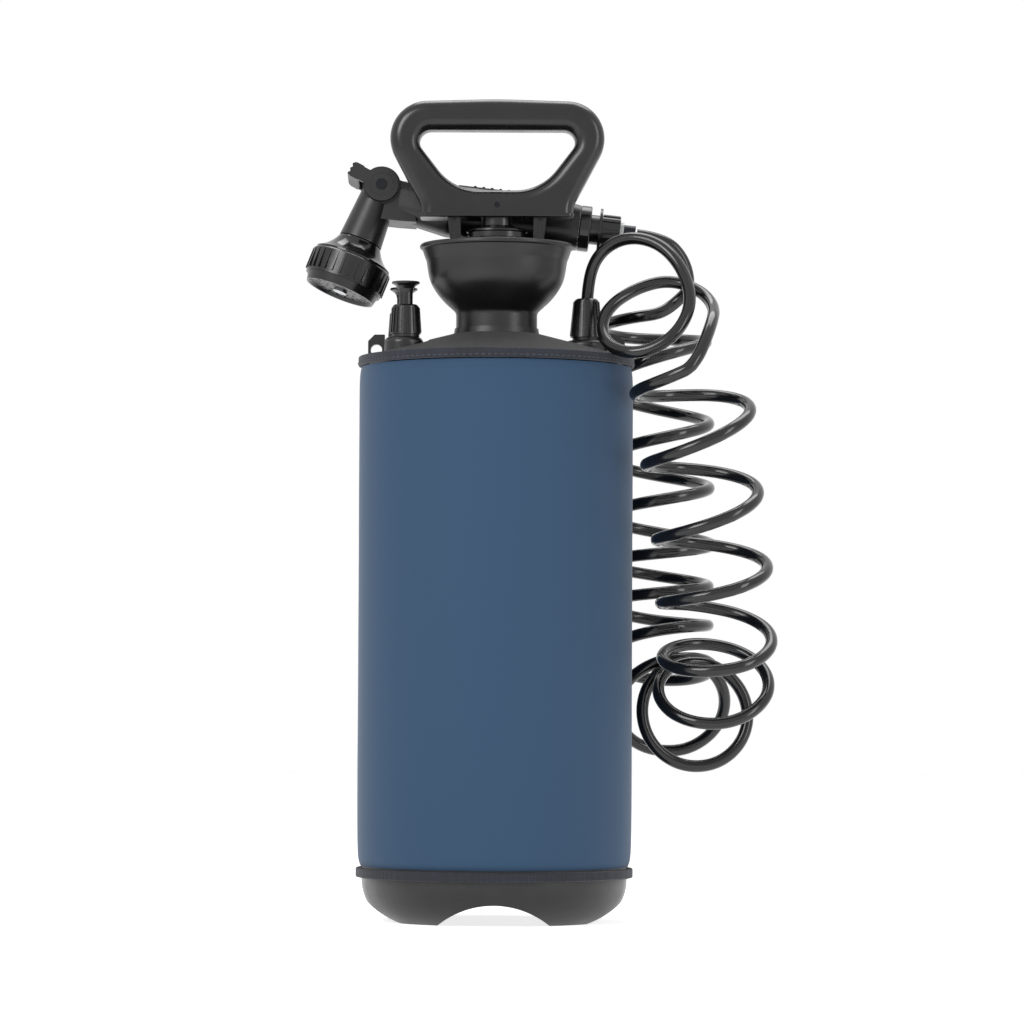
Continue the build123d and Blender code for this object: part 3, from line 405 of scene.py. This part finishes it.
def cloth(name, dark, light, thread_mm, depth_mm, sheen, tilt=0.0, lie="UV"):
    """A cloth whose two thread directions follow the piece's UV map in metres, or lie flat."""
    material, tree, shader = new_finish(name, 0.8, Sheen_Weight=sheen, Sheen_Roughness=0.4)
    place = add_node(tree, "ShaderNodeTexCoord").outputs[lie]
    turned = add_node(tree, "ShaderNodeMapping", {"Vector": place, "Rotation": (0, 0, tilt)})
    turned = turned.outputs["Vector"]
    waves = 1000 / thread_mm / WAVE_UNIT
    across = add_node(
        tree,
        "ShaderNodeTexWave",
        {"Vector": turned, "Scale": waves, **WAVE_WARP},
        bands_direction="X",
    )
    along = add_node(
        tree,
        "ShaderNodeTexWave",
        {"Vector": turned, "Scale": waves, **WAVE_WARP},
        bands_direction="Y",
    )
    crossing = add_node(
        tree,
        "ShaderNodeMath",
        {0: across.outputs["Fac"], 1: along.outputs["Fac"]},
        operation="MULTIPLY",
    ).outputs["Value"]
    patches = mottled(tree, place, 30.0, dark, light)
    shade = add_node(
        tree,
        "ShaderNodeMapRange",
        {"Value": crossing, "To Min": 0.72, "To Max": 1.12},
    ).outputs["Result"]
    tinted = add_node(tree, "ShaderNodeVectorMath", {0: patches, "Scale": shade}, operation="SCALE")
    tree.links.new(tinted.outputs["Vector"], shader.inputs["Base Color"])
    bump = add_node(tree, "ShaderNodeBump", {"Height": crossing, "Distance": depth_mm / 1000})
    tree.links.new(bump.outputs["Normal"], shader.inputs["Normal"])
    return material


blue_knit = cloth("polyester_knit_denim_blue", "#284A6B", "#325576", 1.2, 0.25, 0.2)
black_woven = cloth("polyester_woven_black", "#17171A", "#1F1F22", 0.9, 0.15, 0.1, 0.785, "Object")
dark_tape = cloth("polyester_twill_tape_black", "#1A1D26", "#232733", 0.8, 0.12, 0.15, 0.5, "Object")

# %% [markdown]
# ## Dressing the CAD nodes
# Where the CAD shape is right it stays and only gets its finish.

# %% Finishes of the CAD nodes
FINISHES = {
    tank_black: "tank_shell strap_lugs",
    satin_black: "funnel handset_rest handset_body pump_barrel front_valve_body rear_valve_body"
    " outlet_spigot thumb_lever dip_tube strainer piston pump_rod spray_face",
    semi_gloss_black: "front_valve_cap rear_valve_cap front_valve_plunger rear_valve_plunger"
    " outlet_nut connector_body connector_nut pump_cap pump_handle spray_dial",
    gloss_black: "head_skirt grip_end_cap",
    black_woven: "shoulder_cover",
    dark_tape: "sleeve_top_binding sleeve_bottom_binding",
    rubber_black: "funnel_gasket outlet_seal front_valve_seal rear_valve_seal pump_seal check_valve"
    " piston_seal dial_seal grip_pad",
    stainless: "front_valve_spring rear_valve_spring face_screw",
    dark_anodised: "hose_ferrule rod_pin lever_axle",
    pale_nylon: "connector_collar",
}
for finish, names in FINISHES.items():
    for name in names.split():
        nodes[name].data.materials.clear()
        nodes[name].data.materials.append(finish)
hose.data.materials.append(hose_black)
print("finished nodes:", sum(len(names.split()) for names in FINISHES.values()))

# %% [markdown]
# ## The knitted sleeve
# The sleeve is soft foam with a knitted face, pulled over the tank like a sock. It starts as one
# ring of points that is extruded upwards row by row. Each row is drawn in or let out a little, so
# the sleeve tucks in at its tapes and isn't quite straight between them. Its UV map is the angle
# and height in metres, so that the knit keeps its size all the way round.

# %% Sleeve
SLEEVE_AROUND = 160
SLEEVE_ROWS = [
    (0.0925, 0.0380),
    (0.0940, 0.0410),
    (0.0947, 0.0470),
    (0.0950, 0.0600),
    (0.0952, 0.1000),
    (0.0950, 0.1500),
    (0.0951, 0.2000),
    (0.0950, 0.2500),
    (0.0952, 0.3000),
    (0.0951, 0.3400),
    (0.0952, 0.3650),
    (0.0950, 0.3790),
    (0.0938, 0.3836),
]
SLEEVE_THICK = 0.0022
UV_RADIUS = 0.095

bpy.ops.object.select_all(action="DESELECT")
bpy.ops.mesh.primitive_circle_add(
    vertices=SLEEVE_AROUND, radius=SLEEVE_ROWS[0][0], location=(0, 0, SLEEVE_ROWS[0][1])
)
sleeve = bpy.context.object
sleeve.name = "knitted_sleeve"
bpy.ops.object.transform_apply(location=True, rotation=False, scale=False)
bpy.ops.object.mode_set(mode="EDIT")
bpy.ops.mesh.select_all(action="SELECT")
for (radius, height), (next_radius, next_height) in zip(SLEEVE_ROWS, SLEEVE_ROWS[1:]):
    bpy.ops.mesh.extrude_region_move(TRANSFORM_OT_translate={"value": (0, 0, next_height - height)})
    grow = next_radius / radius
    bpy.ops.transform.resize(value=(grow, grow, 1), center_override=(0, 0, next_height))
bpy.ops.mesh.select_all(action="SELECT")
bpy.ops.mesh.normals_make_consistent(inside=False)
bpy.ops.object.mode_set(mode="OBJECT")

uv_map = sleeve.data.uv_layers.new(name="metres")
for face in sleeve.data.polygons:
    corners = [sleeve.data.vertices[i].co for i in face.vertices]
    turns = [math.atan2(c.y, c.x) for c in corners]
    wraps = max(turns) - min(turns) > math.pi
    for loop, corner, turn in zip(face.loop_indices, corners, turns):
        if wraps and turn < 0:
            turn += 2 * math.pi
        uv_map.data[loop].uv = (turn * UV_RADIUS, corner.z)

rounding = sleeve.modifiers.new("rounding", "SUBSURF")
rounding.levels = rounding.render_levels = 1
wall = sleeve.modifiers.new("foam", "SOLIDIFY")
wall.thickness = SLEEVE_THICK
wall.offset = -1.0
bpy.ops.object.modifier_apply(modifier="rounding")
bpy.ops.object.modifier_apply(modifier="foam")
bpy.ops.object.shade_smooth_by_angle(angle=math.radians(40))
sleeve.data.materials.append(blue_knit)
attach(sleeve, "tank")
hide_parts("sleeve")
print("sleeve faces", len(sleeve.data.polygons))

# %% [markdown]
# ## Stitching on the upper tape
# The tape is sewn on with one row of thread. One stitch is a small squashed ball, and the rest
# are copies of it, each turned to its own place round the sleeve and joined into one piece.

# %% Stitches
STITCH_COUNT = 140
STITCH_R = 0.0961
STITCH_Z = 0.3862
THREAD_R = 0.0004
STITCH_STRETCH = 3.6
thread = moulded("polyester_thread_grey", "#3A3C42", "#45474E", 0.5, 0.65, 0.8, 0.04)
stitches = []
for count in range(STITCH_COUNT):
    angle = 2 * math.pi * count / STITCH_COUNT
    bpy.ops.mesh.primitive_uv_sphere_add(
        segments=8,
        ring_count=5,
        radius=THREAD_R,
        location=(STITCH_R * math.cos(angle), STITCH_R * math.sin(angle), STITCH_Z),
        rotation=(0, 0, angle),
        scale=(1.0, STITCH_STRETCH, 1.0),
    )
    stitches.append(bpy.context.object)
bpy.ops.object.select_all(action="DESELECT")
for stitch in stitches:
    stitch.select_set(True)
bpy.context.view_layer.objects.active = stitches[0]
bpy.ops.object.join()
stitching = bpy.context.object
stitching.name = "tape_stitching"
bpy.ops.object.transform_apply(location=True, rotation=True, scale=True)
bpy.ops.object.shade_smooth()
stitching.data.materials.append(thread)
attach(stitching, "tank")
print("stitches", STITCH_COUNT)

# %% [markdown]
# ## Floor and light
# The object stands on a white floor in even studio light: a large soft key from the upper left, a
# weaker fill from the right, a strip above for the rims, and a white world all round. The floor
# glows a little, so that it is as white as the ground in the photograph and shows no horizon.

# %% Floor
FLOOR_SIZE = 12.0
FLOOR_GLOW = 0.78
bpy.ops.mesh.primitive_plane_add(size=FLOOR_SIZE)
floor = bpy.context.object
floor.name = "floor"
floor_paint, tree, shader = new_finish(
    "floor_pale_paint",
    0.9,
    Base_Color=linear("#FAFAFA"),
    Emission_Color=(1, 1, 1, 1),
    Emission_Strength=FLOOR_GLOW,
)
floor.data.materials.append(floor_paint)

# %% [markdown]
# ## World and lamps
# What the camera and the reflections see is white, while the light that the world throws on the
# object is weak, so the lamps shape it.

# %% World and lamps
AMBIENT = 0.14
world = bpy.data.worlds.new("studio")
bpy.context.scene.world = world
world.use_nodes = True
tree = world.node_tree
tree.nodes.clear()
path = add_node(tree, "ShaderNodeLightPath")
seen = add_node(
    tree,
    "ShaderNodeMath",
    {0: path.outputs["Is Camera Ray"], 1: path.outputs["Is Glossy Ray"]},
    operation="MAXIMUM",
)
seen = add_node(
    tree,
    "ShaderNodeMath",
    {0: seen.outputs["Value"], 1: path.outputs["Is Transmission Ray"]},
    operation="MAXIMUM",
)
ambient = add_node(tree, "ShaderNodeBackground", {"Color": (1, 1, 1, 1), "Strength": AMBIENT})
backdrop = add_node(tree, "ShaderNodeBackground", {"Color": linear("#FFFFFF"), "Strength": 1.0})
mixed = add_node(
    tree,
    "ShaderNodeMixShader",
    {
        "Fac": seen.outputs["Value"],
        1: ambient.outputs["Background"],
        2: backdrop.outputs["Background"],
    },
)
add_node(tree, "ShaderNodeOutputWorld", {"Surface": mixed.outputs["Shader"]})


def softbox(name, place, aim, width, height, watts):
    """A rectangular studio lamp turned to a point."""
    data = bpy.data.lights.new(name, "AREA")
    data.shape = "RECTANGLE"
    data.size = width
    data.size_y = height
    data.energy = watts
    lamp = bpy.data.objects.new(name, data)
    bpy.context.collection.objects.link(lamp)
    lamp.location = place
    lamp.rotation_euler = (Vector(aim) - Vector(place)).to_track_quat("-Z", "Y").to_euler()
    return lamp


softbox("key", (-1.2, -1.6, 1.5), (0, 0, 0.3), 1.0, 1.2, 26)
softbox("fill", (1.6, -1.2, 0.9), (0, 0, 0.3), 0.5, 1.4, 9)
softbox("top", (0.2, 0.6, 1.9), (0, 0, 0.4), 1.4, 0.8, 14)
bpy.context.scene.view_settings.view_transform = "Standard"
